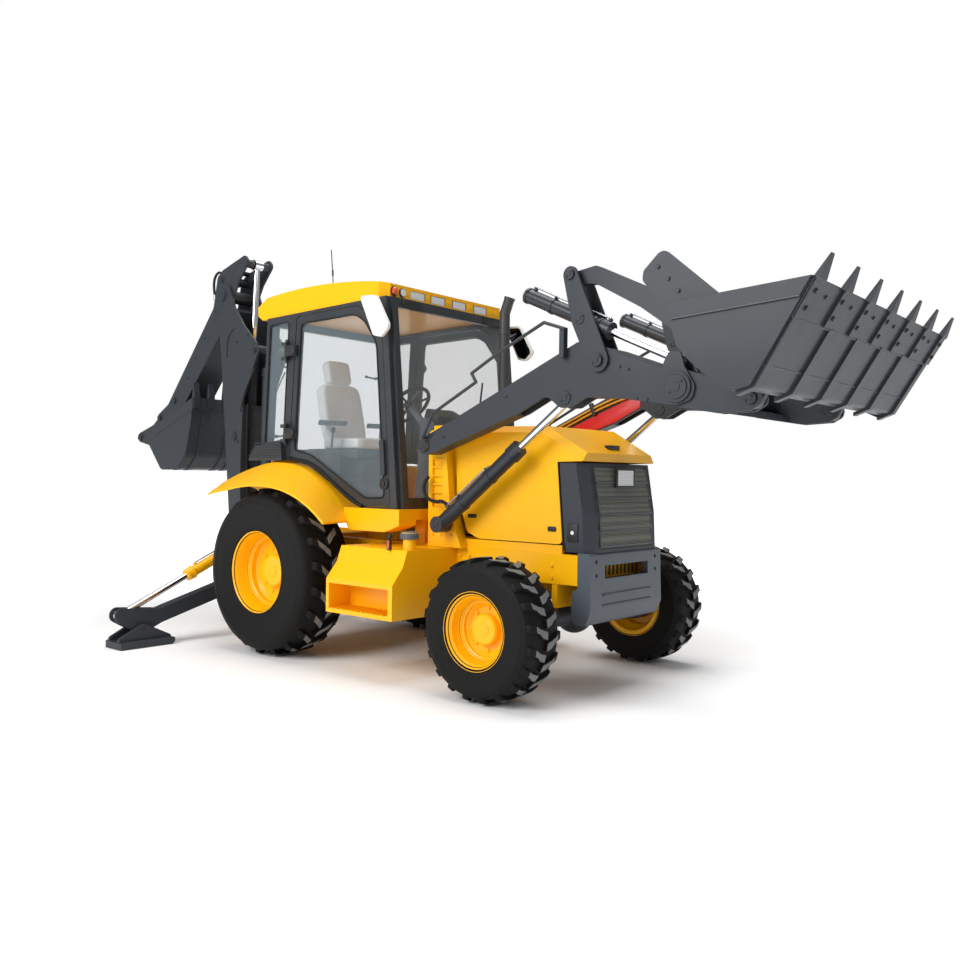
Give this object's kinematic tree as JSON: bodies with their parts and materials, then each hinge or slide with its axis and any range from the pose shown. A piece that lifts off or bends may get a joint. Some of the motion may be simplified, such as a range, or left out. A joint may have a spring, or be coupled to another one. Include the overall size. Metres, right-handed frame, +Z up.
{
  "type": "backhoe loader",
  "caption": "Wheeled backhoe loader with a front loading bucket on twin arms, an enclosed cab, a folded digging arm on a swing post and two outrigger legs.",
  "frame": {"origin": "on the ground, below the middle of the rear axle", "axes": "+X forward, +Y towards the machine's left side, +Z up"},
  "size_m": [7.8828, 3.4578, 3.5335],
  "materials": {
    "yellow_paint": "gloss",
    "slate_paint": "satin",
    "black_paint": "satin",
    "chrome_rod": "polished",
    "window_glass": "clear",
    "tyre_rubber": "matte",
    "engine_iron": "rough",
    "seat_cloth": "woven",
    "black_plastic": "matte",
    "lamp_lens": "gloss"
  },
  "bodies": {
    "chassis": {"main_frame": "slate_paint", "scuttle": "yellow_paint", "front_bumper": "slate_paint", "front_cowl": "slate_paint", "radiator_grille": "black_paint", "engine_block": "engine_iron", "exhaust_stack": "black_paint", "axles": "slate_paint", "cab_frame": "black_paint", "cab_roof": "yellow_paint", "cab_glass": "window_glass", "cab_base": "yellow_paint", "seat": "seat_cloth", "controls": "black_plastic", "step_boxes": "yellow_paint", "mirrors": "black_plastic", "lamps": "lamp_lens"},
    "rear_wheel_right": {"rear_tyre_right": "tyre_rubber", "rear_rim_right": "yellow_paint"},
    "front_wheel_right": {"front_tyre_right": "tyre_rubber", "front_rim_right": "yellow_paint"},
    "knuckle_right_body": {"knuckle_right": "slate_paint"},
    "cab_door_right_body": {"cab_door_right": "black_paint", "door_glass_right": "window_glass"},
    "stabiliser_leg_right_body": {"stabiliser_leg_right": "slate_paint"},
    "stabiliser_barrel_right_body": {"stabiliser_barrel_right": "yellow_paint"},
    "stabiliser_rod_right_body": {"stabiliser_rod_right": "chrome_rod"},
    "stabiliser_pad_right_body": {"stabiliser_pad_right": "slate_paint"},
    "rear_wheel_left": {"rear_tyre_left": "tyre_rubber", "rear_rim_left": "yellow_paint"},
    "front_wheel_left": {"front_tyre_left": "tyre_rubber", "front_rim_left": "yellow_paint"},
    "knuckle_left_body": {"knuckle_left": "slate_paint"},
    "cab_door_left_body": {"cab_door_left": "black_paint", "door_glass_left": "window_glass"},
    "stabiliser_leg_left_body": {"stabiliser_leg_left": "slate_paint"},
    "stabiliser_barrel_left_body": {"stabiliser_barrel_left": "yellow_paint"},
    "stabiliser_rod_left_body": {"stabiliser_rod_left": "chrome_rod"},
    "stabiliser_pad_left_body": {"stabiliser_pad_left": "slate_paint"},
    "loader_arm_body": {"loader_arm": "slate_paint"},
    "lift_barrels_body": {"lift_barrels": "black_paint"},
    "lift_rods_body": {"lift_rods": "chrome_rod"},
    "bellcranks_body": {"bellcranks": "slate_paint"},
    "bucket_links_body": {"bucket_links": "slate_paint"},
    "tilt_barrels_body": {"tilt_barrels": "black_paint"},
    "tilt_rods_body": {"tilt_rods": "chrome_rod"},
    "loader_bucket_body": {"loader_bucket": "slate_paint"},
    "swing_frame_body": {"swing_frame": "slate_paint"},
    "boom_body": {"boom": "slate_paint"},
    "boom_barrel_body": {"boom_barrel": "slate_paint"},
    "boom_rod_body": {"boom_rod": "chrome_rod"},
    "dipper_body": {"dipper": "slate_paint"},
    "dipper_barrel_body": {"dipper_barrel": "slate_paint"},
    "dipper_rod_body": {"dipper_rod": "chrome_rod"},
    "hoe_bucket_barrel_body": {"hoe_bucket_barrel": "slate_paint"},
    "hoe_bucket_rod_body": {"hoe_bucket_rod": "chrome_rod"},
    "rocker_body": {"rocker": "slate_paint"},
    "hoe_link_body": {"hoe_link": "slate_paint"},
    "backhoe_bucket_body": {"backhoe_bucket": "slate_paint"},
    "hood_body": {"hood": "yellow_paint"}
  },
  "joints": [
    {"name": "rear_wheel_right_roll", "type": "hinge", "parent": "chassis", "child": "rear_wheel_right", "pos_m": [0, -0.88, 0.657], "axis": [0, 1, 0], "continuous": true},
    {"name": "steer_right", "type": "hinge", "parent": "chassis", "child": "knuckle_right_body", "pos_m": [2.24, -0.72, 0.46], "axis": [0, 0, 1], "range_deg": [-32, 32]},
    {"name": "front_wheel_right_roll", "type": "hinge", "parent": "knuckle_right_body", "child": "front_wheel_right", "pos_m": [2.24, -0.93, 0.46], "axis": [0, 1, 0], "continuous": true},
    {"name": "rear_wheel_left_roll", "type": "hinge", "parent": "chassis", "child": "rear_wheel_left", "pos_m": [0, 0.88, 0.657], "axis": [0, 1, 0], "continuous": true},
    {"name": "steer_left", "type": "hinge", "parent": "chassis", "child": "knuckle_left_body", "pos_m": [2.24, 0.72, 0.46], "axis": [0, 0, 1], "range_deg": [-32, 32]},
    {"name": "front_wheel_left_roll", "type": "hinge", "parent": "knuckle_left_body", "child": "front_wheel_left", "pos_m": [2.24, 0.93, 0.46], "axis": [0, 1, 0], "continuous": true},
    {"name": "loader_lift", "type": "hinge", "parent": "chassis", "child": "loader_arm_body", "pos_m": [1.374, 0, 1.64], "axis": [0, -1, 0], "range_deg": [-39, 41]},
    {"name": "lift_barrel_swing", "type": "hinge", "parent": "chassis", "child": "lift_barrels_body", "pos_m": [1.489, 0, 1.08], "axis": [0, -1, 0], "range_deg": [-34, 36]},
    {"name": "lift_rod_slide", "type": "slide", "parent": "lift_barrels_body", "child": "lift_rods_body", "axis": [0.7942, 0, 0.6076], "range_m": [-0.36, 0.37]},
    {"name": "loader_bucket_tilt", "type": "hinge", "parent": "loader_arm_body", "child": "loader_bucket_body", "pos_m": [3.824, 0, 1.878], "axis": [0, 1, 0], "range_deg": [-5, 105]},
    {"name": "bellcrank_swing", "type": "hinge", "parent": "loader_arm_body", "child": "bellcranks_body", "pos_m": [2.853, 0, 2.148], "axis": [0, 1, 0], "range_deg": [-3, 60]},
    {"name": "bucket_link_swing", "type": "hinge", "parent": "bellcranks_body", "child": "bucket_links_body", "pos_m": [2.64, 0, 2.7], "axis": [0, -1, 0], "range_deg": [-4, 67]},
    {"name": "tilt_barrel_swing", "type": "hinge", "parent": "bellcranks_body", "child": "tilt_barrels_body", "pos_m": [2.718, 0, 2.413], "axis": [0, -1, 0], "range_deg": [-3, 44]},
    {"name": "tilt_rod_slide", "type": "slide", "parent": "tilt_barrels_body", "child": "tilt_rods_body", "axis": [0.9108, 0, -0.4128], "range_m": [-0.255, 0.02]},
    {"name": "backhoe_swing", "type": "hinge", "parent": "chassis", "child": "swing_frame_body", "pos_m": [-1.33, 0, 0.66], "axis": [0, 0, 1], "range_deg": [-85, 85]},
    {"name": "boom_lift", "type": "hinge", "parent": "swing_frame_body", "child": "boom_body", "pos_m": [-1.62, 0, 0.66], "axis": [0, -1, 0], "range_deg": [-3, 100]},
    {"name": "boom_barrel_swing", "type": "hinge", "parent": "swing_frame_body", "child": "boom_barrel_body", "pos_m": [-1.38, 0, 1], "axis": [0, -1, 0], "range_deg": [-4, 106]},
    {"name": "boom_rod_slide", "type": "slide", "parent": "boom_barrel_body", "child": "boom_rod_body", "axis": [0.0174, 0, 0.9998], "range_m": [-0.03, 0.64]},
    {"name": "dipper_swing", "type": "hinge", "parent": "boom_body", "child": "dipper_body", "pos_m": [-1.884, 0, 3.178], "axis": [0, 1, 0], "range_deg": [-8, 100]},
    {"name": "dipper_barrel_swing", "type": "hinge", "parent": "boom_body", "child": "dipper_barrel_body", "pos_m": [-1.67, 0, 1.784], "axis": [0, -1, 0], "range_deg": [-4, 1]},
    {"name": "dipper_rod_slide", "type": "slide", "parent": "dipper_barrel_body", "child": "dipper_rod_body", "axis": [0.0583, 0, 0.9983], "range_m": [-0.67, 0.06]},
    {"name": "backhoe_bucket_tilt", "type": "hinge", "parent": "dipper_body", "child": "backhoe_bucket_body", "pos_m": [-2.94, 0, 1.92], "axis": [0, 1, 0], "range_deg": [0, 100]},
    {"name": "rocker_swing", "type": "hinge", "parent": "dipper_body", "child": "rocker_body", "pos_m": [-2.79, 0, 2.18], "axis": [0, 1, 0], "range_deg": [-1, 138]},
    {"name": "hoe_link_swing", "type": "hinge", "parent": "rocker_body", "child": "hoe_link_body", "pos_m": [-3.115, 0, 2.014], "axis": [0, -1, 0], "range_deg": [-1, 131]},
    {"name": "hoe_bucket_barrel_swing", "type": "hinge", "parent": "dipper_body", "child": "hoe_bucket_barrel_body", "pos_m": [-1.944, 0, 3.35], "axis": [0, 1, 0], "range_deg": [-1, 9]},
    {"name": "hoe_bucket_rod_slide", "type": "slide", "parent": "hoe_bucket_barrel_body", "child": "hoe_bucket_rod_body", "axis": [-0.6591, 0, -0.752], "range_m": [-0.69, 0.01]},
    {"name": "stabiliser_right_lift", "type": "hinge", "parent": "chassis", "child": "stabiliser_leg_right_body", "pos_m": [-1.035, -0.45, 0.49], "axis": [-1, 0, 0], "range_deg": [-6, 66]},
    {"name": "stabiliser_barrel_right_swing", "type": "hinge", "parent": "chassis", "child": "stabiliser_barrel_right_body", "pos_m": [-1.035, -0.42, 0.845], "axis": [-1, 0, 0], "range_deg": [-7, 71]},
    {"name": "stabiliser_rod_right_slide", "type": "slide", "parent": "stabiliser_barrel_right_body", "child": "stabiliser_rod_right_body", "axis": [0, -0.9067, -0.4217], "range_m": [-0.42, 0.045]},
    {"name": "stabiliser_pad_right_tilt", "type": "hinge", "parent": "stabiliser_leg_right_body", "child": "stabiliser_pad_right_body", "pos_m": [-1.035, -1.5, 0.15], "axis": [-1, 0, 0], "range_deg": [-18, 18]},
    {"name": "cab_door_right_open", "type": "hinge", "parent": "chassis", "child": "cab_door_right_body", "pos_m": [-0.12, -0.745, 1.9], "axis": [0, 0, -1], "range_deg": [0, 75]},
    {"name": "stabiliser_left_lift", "type": "hinge", "parent": "chassis", "child": "stabiliser_leg_left_body", "pos_m": [-1.035, 0.45, 0.49], "axis": [1, 0, 0], "range_deg": [-6, 66]},
    {"name": "stabiliser_barrel_left_swing", "type": "hinge", "parent": "chassis", "child": "stabiliser_barrel_left_body", "pos_m": [-1.035, 0.42, 0.845], "axis": [1, 0, 0], "range_deg": [-7, 71]},
    {"name": "stabiliser_rod_left_slide", "type": "slide", "parent": "stabiliser_barrel_left_body", "child": "stabiliser_rod_left_body", "axis": [0, 0.9067, -0.4217], "range_m": [-0.42, 0.045]},
    {"name": "stabiliser_pad_left_tilt", "type": "hinge", "parent": "stabiliser_leg_left_body", "child": "stabiliser_pad_left_body", "pos_m": [-1.035, 1.5, 0.15], "axis": [1, 0, 0], "range_deg": [-18, 18]},
    {"name": "cab_door_left_open", "type": "hinge", "parent": "chassis", "child": "cab_door_left_body", "pos_m": [-0.12, 0.745, 1.9], "axis": [0, 0, 1], "range_deg": [0, 75]},
    {"name": "hood_open", "type": "hinge", "parent": "chassis", "child": "hood_body", "pos_m": [1.512, 0, 1.775], "axis": [0, -1, 0], "range_deg": [0, 50]}
  ],
  "couplings": [
    {"joint": "steer_right", "follows": "steer_left", "ratio": 1},
    {"joint": "lift_barrel_swing", "follows": "loader_lift", "ratio": 0.8198},
    {"joint": "lift_rod_slide", "follows": "loader_lift", "m_per_rad": 0.501},
    {"joint": "bellcrank_swing", "follows": "loader_bucket_tilt", "ratio": 0.5559},
    {"joint": "bucket_link_swing", "follows": "loader_bucket_tilt", "ratio": 0.6241},
    {"joint": "tilt_barrel_swing", "follows": "loader_bucket_tilt", "ratio": 0.4078},
    {"joint": "tilt_rod_slide", "follows": "loader_bucket_tilt", "m_per_rad": -0.1343},
    {"joint": "boom_barrel_swing", "follows": "boom_lift", "ratio": 1.0443},
    {"joint": "boom_rod_slide", "follows": "boom_lift", "m_per_rad": 0.3546},
    {"joint": "dipper_barrel_swing", "follows": "dipper_swing", "ratio": -0.0278},
    {"joint": "dipper_rod_slide", "follows": "dipper_swing", "m_per_rad": -0.3716},
    {"joint": "rocker_swing", "follows": "backhoe_bucket_tilt", "ratio": 1.3637},
    {"joint": "hoe_link_swing", "follows": "backhoe_bucket_tilt", "ratio": 1.2925},
    {"joint": "hoe_bucket_barrel_swing", "follows": "backhoe_bucket_tilt", "ratio": 0.0746},
    {"joint": "hoe_bucket_rod_slide", "follows": "backhoe_bucket_tilt", "m_per_rad": -0.3843},
    {"joint": "stabiliser_barrel_right_swing", "follows": "stabiliser_right_lift", "ratio": 0.9945},
    {"joint": "stabiliser_rod_right_slide", "follows": "stabiliser_right_lift", "m_per_rad": -0.3348},
    {"joint": "stabiliser_barrel_left_swing", "follows": "stabiliser_left_lift", "ratio": 0.9945},
    {"joint": "stabiliser_rod_left_slide", "follows": "stabiliser_left_lift", "m_per_rad": -0.3348}
  ]
}
